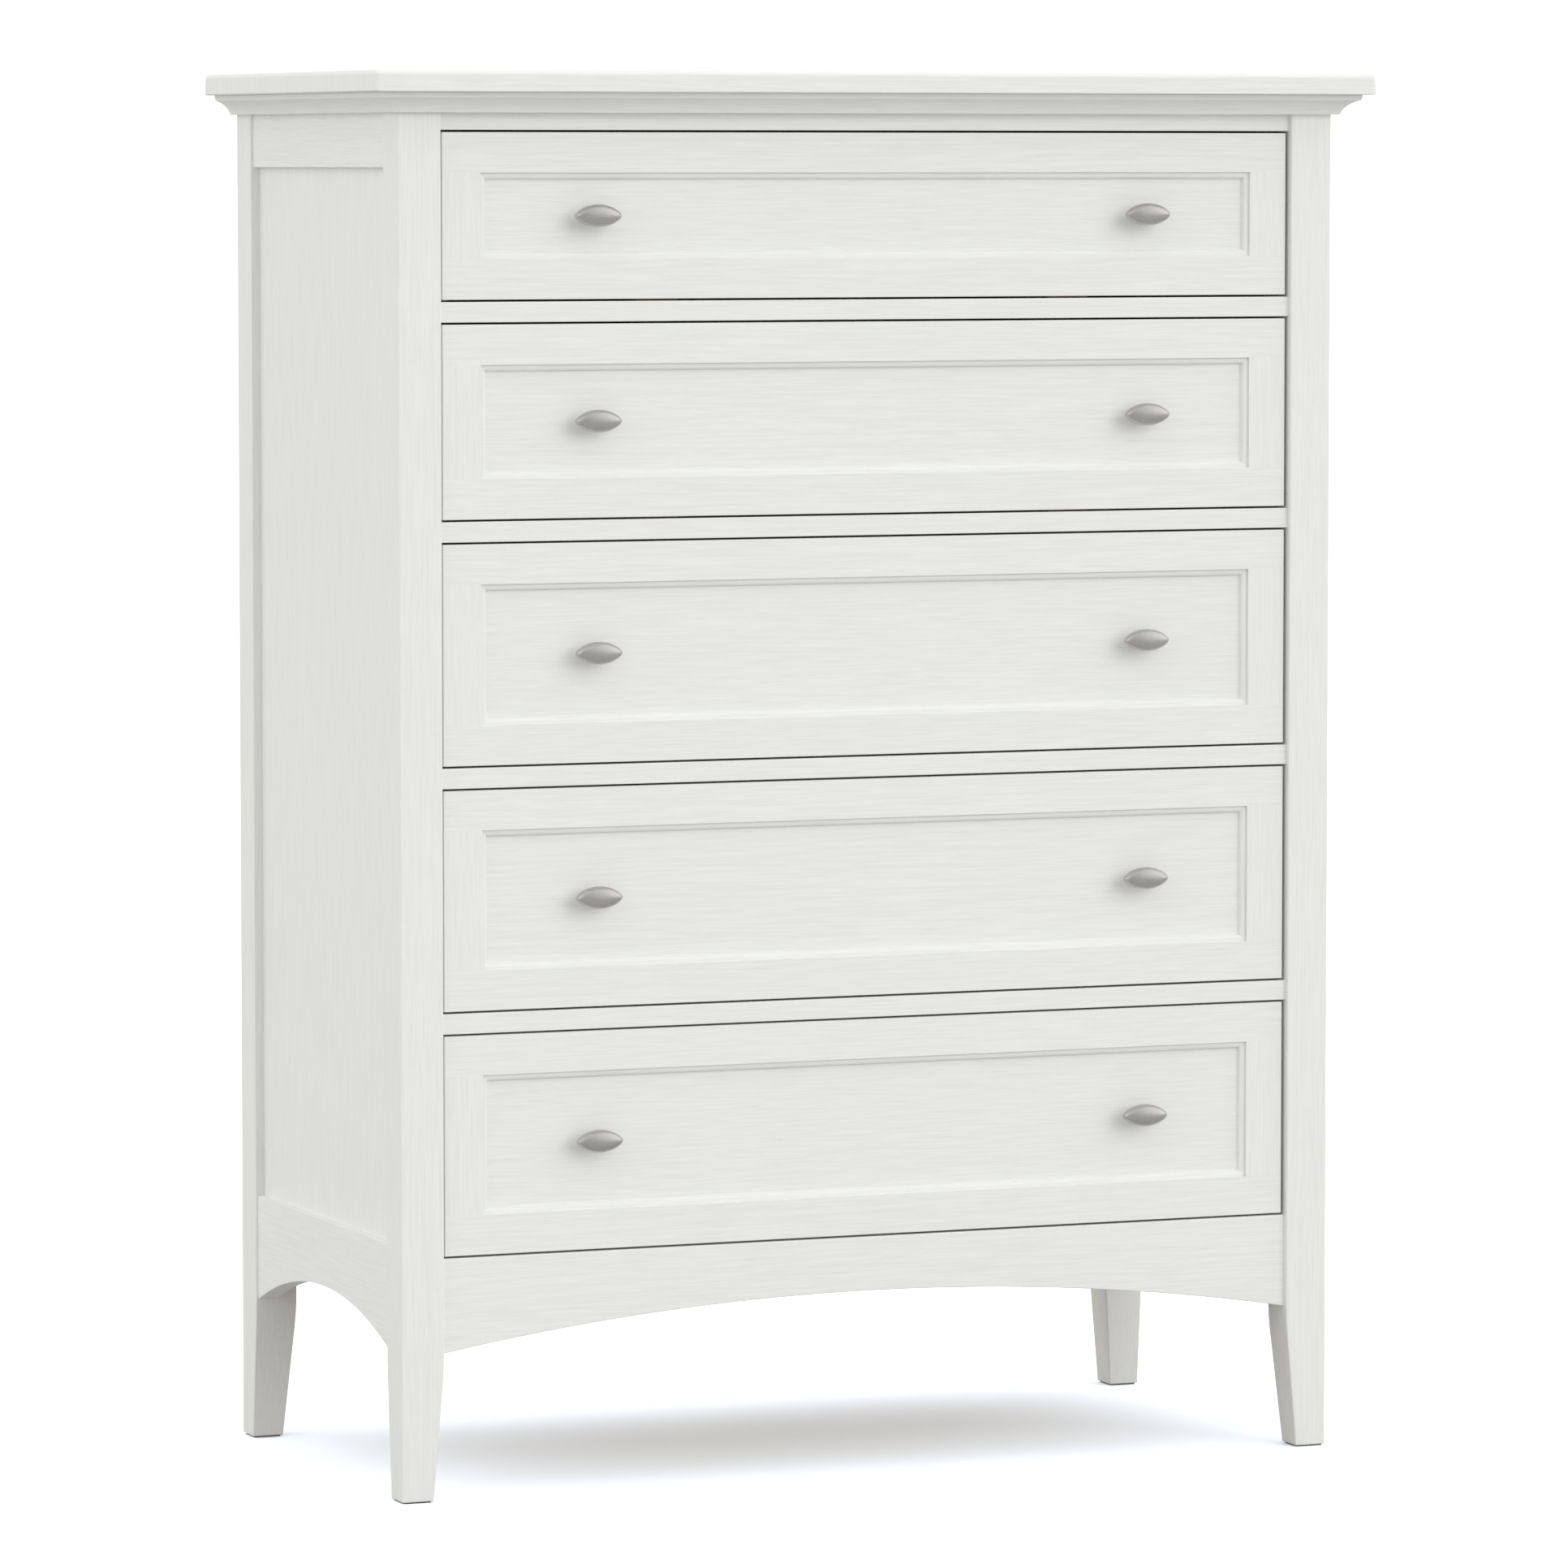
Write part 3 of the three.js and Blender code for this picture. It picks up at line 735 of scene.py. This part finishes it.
def crown_profile(back):
    """The crown's section as (distance past the posts, height): its back, its flat underside,
    a cove that hollows out on a circular arc, a small step, and a nearly upright lip."""
    foot = np.array([CROWN_BOTTOM, crown_low[2]])
    lip = np.array([CROWN_TOP - CROWN_BATTER - CROWN_QUIRK, crown_roof - CROWN_LIP])
    chord = lip - foot
    length = np.hypot(*chord)
    outward = np.array([chord[1], -chord[0]]) / length
    centre = (foot + lip) / 2 + outward * math.sqrt(COVE_RADIUS**2 - length**2 / 4)
    ends = [math.atan2(*(point - centre)[::-1]) % (2 * math.pi) for point in (foot, lip)]
    turn = np.linspace(*ends, COVE_STEPS + 1)
    cove = centre + COVE_RADIUS * np.stack([np.cos(turn), np.sin(turn)], -1)
    quirk_face = lip[0] + CROWN_QUIRK
    quirk = [[quirk_face - 0.1, lip[1] + 0.1], [quirk_face, lip[1] + 0.4]]
    lead = [[-back, crown_low[2]], [CROWN_BOTTOM - 0.5, crown_low[2]]]
    lip_face = [[CROWN_TOP, crown_roof - 0.5], [CROWN_TOP - 0.4, crown_roof - ROOF_GAP]]
    tail = [[-back, crown_roof - ROOF_GAP]]
    return np.concatenate([lead, cove, quirk, lip_face, tail])


def crown_mitre(sign, back):
    """The section stood on the diagonal at a front corner: as far out to the side as forward."""
    out, height = crown_profile(back).T
    return np.stack([sign * (OUTER_X + out), FRONT_FACE - out, height], -1)


def add_crown_length(word, ends, grain):
    name = f"crown_{word}_length"
    mesh = make_mesh(name, *loft(np.stack(ends)))
    add_piece(name, mesh, "carcass", PAINT, "crown_moulding", grain, CROWN_CREASE)


add_crown_length("front", [crown_mitre(sign, FRONT_CROWN_BACK) for sign in (-1, 1)], "x")
for word, sign in SIDES.items():
    mitre = crown_mitre(sign, SIDE_CROWN_BACK)
    rear = mitre.copy()
    rear[:, 1] = REAR_FACE
    add_crown_length(word, [mitre, rear], "y")

# ---------------------------------------------------------------- runner frames

RUNNER_WIDTH = 45.0
CROSS_WIDTH = 40.0
MUNTIN_HALF = 10.0
DUST_PANEL_HALF = 2.5
GUIDE_HEIGHT = 8.0
GUIDE_EASE = 1.0
GUIDE_FRONT_GAP = 4.0  # between the guide and the drawer front, where the guide could reach it


def add_runner_frame(k):
    """Two runners, a cross rail at each end, a muntin with the centre guide on it, and a dust
    panel let into them all."""
    node = f"runner_frame_{k}"
    low, high = span(node)
    roof = high[2] - GUIDE_HEIGHT
    rail_z = (low[2], roof)
    for word, sign in SIDES.items():
        x = on_side(sign, INNER_X, INNER_X - RUNNER_WIDTH)
        pair = changed(low, high, x=x, z=rail_z)
        board(f"drawer_runner_{k}_{word}", pair, "carcass", FRAME_WOOD, node, "y")
    inner = (-INNER_X + RUNNER_WIDTH - LAP, INNER_X - RUNNER_WIDTH + LAP)
    ends_y = {"front": (low[1], low[1] + CROSS_WIDTH), "rear": (high[1] - CROSS_WIDTH, high[1])}
    for word, y in ends_y.items():
        pair = changed(low, high, x=inner, y=y, z=rail_z)
        board(f"runner_cross_{k}_{word}", pair, "carcass", FRAME_WOOD, node, "x")
    window = (low[1] + CROSS_WIDTH - LAP, high[1] - CROSS_WIDTH + LAP)
    muntin = (-MUNTIN_HALF, MUNTIN_HALF)
    pair = changed(low, high, x=muntin, y=window, z=rail_z)
    board(f"runner_muntin_{k}", pair, "carcass", FRAME_WOOD, node, "y")
    dust_x = (inner[0] - PANEL_TONGUE, inner[1] + PANEL_TONGUE)
    dust_y = (window[0] - PANEL_TONGUE, window[1] + PANEL_TONGUE)
    middle = (low[2] + roof) / 2
    dust_z = (middle - DUST_PANEL_HALF, middle + DUST_PANEL_HALF)
    pair = changed(low, high, x=dust_x, y=dust_y, z=dust_z)
    board(f"dust_panel_{k}", pair, "carcass", PLYWOOD, node, "x", PANEL_EASE)
    drawer_back_face = span(f"drawer_{k}_front")[1][1]
    guide_y = (max(low[1], drawer_back_face + GUIDE_FRONT_GAP), high[1])
    pair = changed(low, high, x=muntin, y=guide_y, z=(roof - LAP, high[2]))
    board(f"centre_guide_{k}", pair, "carcass", FRAME_WOOD, node, "y", GUIDE_EASE)


for k in DRAWERS:
    add_runner_frame(k)

# Kickers over the top drawer, on the inner faces of the side rails, keep it from tipping.
KICKER_GAP = 1.6
KICKER_INSET = 20.0  # from the posts' inner faces
KICKER_HEIGHT = 20.0

kicker_z = span("drawer_1_left_side")[1][2] + KICKER_GAP
rail_inner = abs(span("right_top_rail")[0][0])
for word, sign in SIDES.items():
    x = on_side(sign, rail_inner + CLEAR, INNER_X - KICKER_INSET)
    low = (x[0], FRONT_POST_BACK + CLEAR, kicker_z)
    high = (x[1], REAR_POST_FRONT - CLEAR, kicker_z + KICKER_HEIGHT)
    board(f"drawer_kicker_{word}", (low, high), "carcass", FRAME_WOOD, None, "y")

# ---------------------------------------------------------------- drawers

STILE = 36.0
RAIL = 35.5
STICKING = 6.3  # the width of the moulding between the frame and the panel
STICKING_CREASE = 28
STEP_WIDTH = 1.3
STEP_DEPTH = 2.6
SLOPE_WIDTH = 4.3
SLOPE_DEPTH = 2.9
SLOPE_BEND = 1.15
RECESS = 7.0  # from the frame's face back to the panel's
PANEL_THICKNESS = 6.0
TAIL_DEPTH = 12.0
TAIL_FLARE = 1.5  # how much wider a tail is on each side at its end than at its root
TAIL_PITCH = 37.0
PIN_HALF = 5.0
JOINT_LINE = 0.12  # the glue line that shows round a tail
BULLNOSE = 3.0  # the radius along a drawer side's top edge
STRIP_X = (11.5, 23.5)  # the guide strips' edges, from the chest's middle
STRIP_RISE = 0.9  # above the drawer sides' lower edges
STRIP_GAP = 0.2  # behind the drawer front


def tail_edge(root, tip, low, high, grow):
    """Points (y, z) down one end of a drawer side, from low to high: tails that widen from the
    root line to the tip line, with the sockets of the pins between them."""
    count = max(2, round((high - low) / TAIL_PITCH))
    edges = np.linspace(low, high, count + 1)
    points = []
    for foot, head in zip(edges[:-1], edges[1:]):
        start, stop = foot + PIN_HALF - grow, head - PIN_HALF + grow
        points += [(root, start), (tip, start - TAIL_FLARE)]
        points += [(tip, stop + TAIL_FLARE), (root, stop)]
    return points


def drawer_side(low, high, front_tip, back_zone, grow):
    """Rings of a drawer side: its outline in the upright plane, stacked across its thickness; the
    top edge's height follows a quarter circle near both faces, which rounds it over. back_zone
    is the heights between which it is joined to the box's back. grow, if not 0, makes it a
    square-edged knife, larger all round by that much."""
    front_root = low[1]
    rear_root = high[1] - TAIL_DEPTH
    front = tail_edge(front_root, front_tip, low[2], high[2] - BULLNOSE, grow)
    rear = tail_edge(rear_root, high[1], *back_zone, grow)
    down_front = [(front_root, high[2]), *front[::-1], (front_root, low[2])]
    up_rear = [(high[1], low[2]), (high[1], back_zone[0]), (rear_root, back_zone[0])]
    up_rear += [*rear, (rear_root, back_zone[1]), (high[1], back_zone[1]), (high[1], high[2])]
    outline = np.array(down_front + up_rear)
    quarter = np.linspace(0, QUARTER_TURN, 5)
    inset = BULLNOSE * (1 - np.cos(quarter))
    layers = np.concatenate([low[0] + inset, high[0] - inset[::-1]])
    drops = BULLNOSE * (1 - np.sin(np.concatenate([quarter, quarter[::-1]])))
    if grow:
        layers = layers + np.linspace(-grow, grow, len(layers))
        drops = drops * 0
    rings = np.empty((len(layers), len(outline), 3))
    rings[:, :, 0] = layers[:, None]
    rings[:, :, 1] = outline[:, 0]
    rings[:, :, 2] = outline[:, 1]
    rings[:, 0, 2] -= drops
    rings[:, -1, 2] -= drops
    return rings


def sticking_profile():
    """The moulding round a drawer's panel as (distance in from the frame, depth below its face):
    a step down, a slope whose distance is a sine and whose depth is a power of 1 - cosine over a
    quarter turn, and a short drop onto the panel. Its back runs into the frame and the panel."""
    turn = np.linspace(0, QUARTER_TURN, 7)
    reach = STEP_WIDTH + SLOPE_WIDTH * np.sin(turn)
    slope = np.stack([reach, STEP_DEPTH + SLOPE_DEPTH * (1 - np.cos(turn)) ** SLOPE_BEND], -1)
    hidden = 0.3
    drop = [[STICKING - 0.25, RECESS - 0.5], [STICKING, RECESS + hidden]]
    return np.concatenate([[[-hidden, STEP_DEPTH]], slope, drop, [[-hidden, RECESS + hidden]]])


def add_sticking(body, face, opening_x, opening_z):
    """Four mitred strips inside the frame's opening. At each end of a strip, the profile's
    distance from the frame is also its distance from the opening's corner."""
    node = f"{body}_front"
    (x0, x1), (z0, z1) = opening_x, opening_z
    reach, depth = sticking_profile().T
    y = face + depth
    rings = {
        "left": [(x0 + reach, z0 + reach), (x0 + reach, z1 - reach)],
        "right": [(x1 - reach, z0 + reach), (x1 - reach, z1 - reach)],
        "bottom": [(x0 + reach, z0 + reach), (x1 - reach, z0 + reach)],
        "top": [(x0 + reach, z1 - reach), (x1 - reach, z1 - reach)],
    }
    for word, ends in rings.items():
        name = f"{node}_sticking_{word}"
        mesh = make_mesh(name, *loft(np.array([np.stack([x, y, z], -1) for x, z in ends])))
        grain = "z" if word in SIDES else "x"
        add_piece(name, mesh, body, PAINT, node, grain, STICKING_CREASE)


KNOB_RIM = 0.8  # the thickness of the head's edge
KNOB_SWELL = 0.5  # the power of the outline by which the head thins towards its ends
KNOB_FULL = 0.62  # the power that makes its section fuller than an ellipse; 1 is an ellipse
KNOB_POINT = 0.7  # the power of its outline; 0.5 is an ellipse, and more is more pointed
KNOB_CREASE = 40
KNOB_STEM = 15.2  # from the drawer's panel to the head's back
HEAD_RINGS = 61
HEAD_POINTS = 37
STEM_POINTS = 40
# (height, radius): a round collar at the drawer, a waist, and a flare into the head
STEM_FOOT = ((0.0, 0.01), (0.0, 7.0), (1.2, 7.0), (1.8, 6.6), (2.4, 5.4))
STEM_WAIST = ((4.5, 4.6), (8.5, 4.4), (12.0, 4.7), (14.2, 5.6), (15.8, 6.6))


def knob_head(length, height, depth, back):
    """Rings of an almond head along x. The outline's half-height is a power of 1 - u squared,
    where u runs from -1 to 1 along the head. The section is half an ellipse, made fuller by a
    power and shallower towards the ends, in front of a thin upright rim."""
    half, rise = length / 2, height / 2
    share = np.sin(np.linspace(-QUARTER_TURN, QUARTER_TURN, HEAD_RINGS))
    along = half * share
    outline = rise * np.clip(1 - share**2, 0, None) ** KNOB_POINT
    turn = np.linspace(0, math.pi, HEAD_POINTS)
    z = outline[:, None] * np.cos(turn)
    swell = (outline / rise) ** KNOB_SWELL
    front = KNOB_RIM + (depth - KNOB_RIM) * swell[:, None] * np.sin(turn) ** KNOB_FULL
    x = np.broadcast_to(along[:, None], z.shape)
    dome = np.stack([x, -back - front, z], -1)
    rim = np.stack([x, np.full_like(z, -back), z], -1)[:, [-1, 0]]
    return np.concatenate([dome, rim], 1)


def knob_stem():
    """A turned stem: a circle carried out from the drawer, with a radius for each height."""
    heights, radii = np.array(STEM_FOOT + STEM_WAIST).T
    angle = np.linspace(0, 2 * math.pi, STEM_POINTS, endpoint=False)
    ring = np.stack([np.cos(angle), np.sin(angle)], -1)
    across = radii[:, None, None] * ring
    depth = np.broadcast_to(-heights[:, None, None], (len(heights), STEM_POINTS, 1))
    return np.concatenate([across[..., :1], depth, across[..., 1:]], -1)


def add_knobs(body, panel_back):
    """Each knob's almond head on its stem, and the screws that hold both from inside."""
    screw_places = []
    for word in SIDES:
        node = f"{body}_{word}_knob"
        low, high = span(node)
        middle = (low + high) / 2
        place = np.array([middle[0], high[1], middle[2]])
        length, depth, height = high - low
        head = knob_head(length, height, depth - KNOB_STEM, KNOB_STEM)
        mesh = make_mesh(node, *joined([loft(head + place), loft(knob_stem() + place)]))
        add_piece(f"{node}_pull", mesh, body, NICKEL, node, "x", KNOB_CREASE, even=False)
        screw_places.append((middle[0], panel_back - SEAT, middle[2]))
    screws(f"{body}_knob_screws", screw_places, body, radius=4.2, rise=2.2)


def add_drawer_front(body, knife):
    """Two stiles between two rails, the moulding round their opening, and the panel behind it.
    The knives cut the sides' tails out of the frame. Gives the place of the panel's back."""
    node = f"{body}_front"
    low, high = span(node)
    face = low[1]
    inner_x = (low[0] + STILE, high[0] - STILE)
    inner_z = (low[2] + RAIL, high[2] - RAIL)
    rails = {"bottom": (low[2], inner_z[0]), "top": (inner_z[1], high[2])}
    for word, z in rails.items():
        pair = changed(low, high, z=z)
        sharp = ("second1",) if word == "bottom" else ("second0",)
        cutters = [knife(side) for side in SIDES]
        name = f"{node}_{word}_rail"
        board(name, pair, body, PAINT, node, "x", RAIL_EASE, cutters, sharp=sharp)
    for word, sign in SIDES.items():
        pair = changed(low, high, x=on_side(sign, high[0], high[0] - STILE), z=inner_z)
        sharp = ("end0", "end1", "first1" if sign < 0 else "first0")
        name = f"{node}_{word}_stile"
        board(name, pair, body, PAINT, node, "z", RAIL_EASE, [knife(word)], sharp=sharp)
    add_sticking(body, face, inner_x, inner_z)
    panel_x = (inner_x[0] - PANEL_TONGUE, inner_x[1] + PANEL_TONGUE)
    panel_y = (face + RECESS, face + RECESS + PANEL_THICKNESS)
    panel_z = (inner_z[0] - PANEL_TONGUE, inner_z[1] + PANEL_TONGUE)
    pair = changed(low, high, x=panel_x, y=panel_y, z=panel_z)
    board(f"{node}_panel", pair, body, PAINT, node, "x", PANEL_EASE)
    return panel_y[1]


def add_drawer(k):
    """A framed front, a box with dovetailed corners, strips under it that run on both sides of
    the centre guide, and two knobs."""
    body = f"drawer_{k}"
    front_low, front_high = span(f"{body}_front")
    front_back = front_high[1]
    box_back = span(f"{body}_back")
    back_zone = (box_back[0][2], box_back[1][2])

    def side_mesh(name, word, grow):
        low, high = span(f"{body}_{word}_side")
        low[1] = front_back
        front_tip = front_back - TAIL_DEPTH - grow
        return make_mesh(name, *loft(drawer_side(low, high, front_tip, back_zone, grow)))

    def knife(word):
        return side_mesh("knife", word, JOINT_LINE)

    panel_back = add_drawer_front(body, knife)
    for word in SIDES:
        name = f"{body}_{word}_side"
        add_piece(f"{name}_board", side_mesh(name, word, 0.0), body, BOX_WOOD, name, "y")
    name = f"{body}_back"
    pair = changed(*box_back, x=(front_low[0], front_high[0]))
    cutters = [knife(word) for word in SIDES]
    sharp = ("end0", "end1")
    board(f"{name}_board", pair, body, BOX_WOOD, name, "x", RAIL_EASE, cutters, sharp=sharp)
    name = f"{body}_bottom"
    low, high = span(name)
    pair = changed(low, high, x=(low[0] - PANEL_TONGUE, high[0] + PANEL_TONGUE))
    board(f"{name}_board", pair, body, PLYWOOD, name, "x", PANEL_EASE)

    strip_y = (front_back + STRIP_GAP, box_back[0][1])
    strip_z = (span(f"{body}_left_side")[0][2] + STRIP_RISE, low[2] + SEAT)
    for word, sign in SIDES.items():
        pair = changed(low, high, x=on_side(sign, *STRIP_X), y=strip_y, z=strip_z)
        name = f"{body}_guide_strip_{word}"
        board(name, pair, body, FRAME_WOOD, None, "y", RAIL_EASE)
    add_knobs(body, panel_back)


for k in DRAWERS:
    add_drawer(k)

# Small blocks behind each drawer front stop the drawer flush with its frame.
STOP_X = 200.0
STOP_HALF = 20.0
STOP_DEPTH = 15.0
STOP_HEIGHT = 9.0

for k in DRAWERS:
    drawer_back_face = span(f"drawer_{k}_front")[1][1]
    floor = span(f"runner_frame_{k}")[1][2] - GUIDE_HEIGHT
    for word, sign in SIDES.items():
        low = (sign * STOP_X - STOP_HALF, drawer_back_face + CLEAR, floor - SEAT)
        high = (sign * STOP_X + STOP_HALF, drawer_back_face + STOP_DEPTH, floor + STOP_HEIGHT)
        name = f"drawer_stop_{k}_{word}"
        board(name, (low, high), "carcass", FRAME_WOOD, None, "x", RAIL_EASE)

# ---------------------------------------------------------------- floor, light and camera

FLOOR_REACH = 400.0  # metres
FLOOR_LEVEL = -0.0002  # metres, just under the glides
FLOOR_SEEN = (1.4, 1.51, 1.66)  # its colour where it is looked at
FLOOR_BOUNCE = (0.52, 0.52, 0.52)  # how much light it gives back to the chest
SKY_LIGHT = 0.775  # how much light it gives
SKY_SEEN = 1.15  # how bright it looks
SKY_LEANS = (  # (direction, how much is added at its middle, how narrow it is)
    ((-0.96, -0.05, 0.15), 0.93, 2.0),
    ((0.55, -0.75, 0.3), 0.48, 2.5),
    ((-0.37, -0.93, 0.0), -0.6, 2.5),
    ((0.95, 0.15, 0.05), 0.6, 2.0),
)
SUN_STRENGTH = 0.68
SUN_SOFTNESS = math.radians(44)  # how wide it is in the sky
SUN_FROM = (0.38, -1.0, 0.4)  # the direction that it shines from


def new_tree(holder):
    holder.use_nodes = True
    holder.node_tree.nodes.clear()
    return holder.node_tree


def add_floor():
    """A wide diffuse floor, brightened to white where it is looked at directly. From below it is
    clear, so that the chest's underside can be looked at."""
    mesh = bpy.data.meshes.new("studio_floor")
    ways = [(-1, -1), (1, -1), (1, 1), (-1, 1)]
    corners = [(x * FLOOR_REACH, y * FLOOR_REACH, FLOOR_LEVEL) for x, y in ways]
    mesh.from_pydata(corners, [], [(0, 1, 2, 3)])
    floor = bpy.data.objects.new("studio_floor", mesh)
    scene.collection.objects.link(floor)
    material = bpy.data.materials.new("studio_floor_white")
    tree = new_tree(material)
    rays = tree.nodes.new("ShaderNodeLightPath")
    seen = tree.nodes.new("ShaderNodeMix")
    seen.data_type = "RGBA"
    seen.inputs[6].default_value = (*FLOOR_BOUNCE, 1)
    seen.inputs[7].default_value = (*FLOOR_SEEN, 1)
    diffuse = tree.nodes.new("ShaderNodeBsdfDiffuse")
    clear = tree.nodes.new("ShaderNodeBsdfTransparent")
    sides = tree.nodes.new("ShaderNodeNewGeometry")
    one_way = tree.nodes.new("ShaderNodeMixShader")
    output = tree.nodes.new("ShaderNodeOutputMaterial")
    tree.links.new(rays.outputs["Is Camera Ray"], seen.inputs[0])
    tree.links.new(seen.outputs[2], diffuse.inputs["Color"])
    tree.links.new(sides.outputs["Backfacing"], one_way.inputs[0])
    tree.links.new(diffuse.outputs[0], one_way.inputs[1])
    tree.links.new(clear.outputs[0], one_way.inputs[2])
    tree.links.new(one_way.outputs[0], output.inputs["Surface"])
    mesh.materials.append(material)


def add_sky():
    """A white surround: a constant, plus soft bright and dark regions that fall off as a power
    of the cosine from their middles. It looks white wherever it is looked at directly."""
    world = bpy.data.worlds.new("studio_surround")
    scene.world = world
    tree = new_tree(world)
    output = tree.nodes.new("ShaderNodeOutputWorld")
    background = tree.nodes.new("ShaderNodeBackground")
    background.inputs["Color"].default_value = (1, 1, 1, 1)
    rays = tree.nodes.new("ShaderNodeLightPath")
    direction = tree.nodes.new("ShaderNodeTexCoord")
    total = None
    for towards, amount, narrowness in SKY_LEANS:
        lean = tree.nodes.new("ShaderNodeVectorMath")
        lean.operation = "DOT_PRODUCT"
        lean.inputs[1].default_value = Vector(towards).normalized()
        tree.links.new(direction.outputs["Generated"], lean.inputs[0])
        value = lean.outputs["Value"]
        steps = [("MAXIMUM", 0.0), ("POWER", narrowness), ("MULTIPLY", amount)]
        steps.append(("ADD", SKY_LIGHT if total is None else total))
        for operation, other in steps:
            step = tree.nodes.new("ShaderNodeMath")
            step.operation = operation
            tree.links.new(value, step.inputs[0])
            if isinstance(other, bpy.types.NodeSocket):
                tree.links.new(other, step.inputs[1])
            else:
                step.inputs[1].default_value = other
            value = step.outputs[0]
        total = value
    strength = tree.nodes.new("ShaderNodeMix")
    tree.links.new(total, strength.inputs[2])
    strength.inputs[3].default_value = SKY_SEEN
    tree.links.new(rays.outputs["Is Camera Ray"], strength.inputs[0])
    tree.links.new(strength.outputs[0], background.inputs["Strength"])
    tree.links.new(background.outputs[0], output.inputs["Surface"])


def add_sun():
    """A broad, soft key light from above and in front, to the right."""
    data = bpy.data.lights.new("soft_key", "SUN")
    data.energy = SUN_STRENGTH
    data.angle = SUN_SOFTNESS
    lamp = bpy.data.objects.new("soft_key", data)
    scene.collection.objects.link(lamp)
    lamp.visible_glossy = False
    lamp.rotation_euler = Vector(SUN_FROM).to_track_quat("Z", "Y").to_euler()


add_floor()
add_sky()
add_sun()

CAMERA_PLACE = (-2.87044, -7.03634, 1.18089)
CAMERA_YAW = math.radians(22.167)  # to the right
CAMERA_PITCH = math.radians(4.290)  # downwards
SENSOR_WIDTH = 36.0
FOCAL_LENGTH = 190.0

forward = Vector(
    (
        math.sin(CAMERA_YAW) * math.cos(CAMERA_PITCH),
        math.cos(CAMERA_YAW) * math.cos(CAMERA_PITCH),
        -math.sin(CAMERA_PITCH),
    )
)
camera_data = bpy.data.cameras.new("studio_camera")
camera_data.sensor_width = SENSOR_WIDTH
camera_data.lens = FOCAL_LENGTH
camera = bpy.data.objects.new("studio_camera", camera_data)
camera.location = CAMERA_PLACE
camera.rotation_euler = forward.to_track_quat("-Z", "Y").to_euler()
scene.collection.objects.link(camera)
scene.camera = camera
scene.view_settings.view_transform = "Standard"
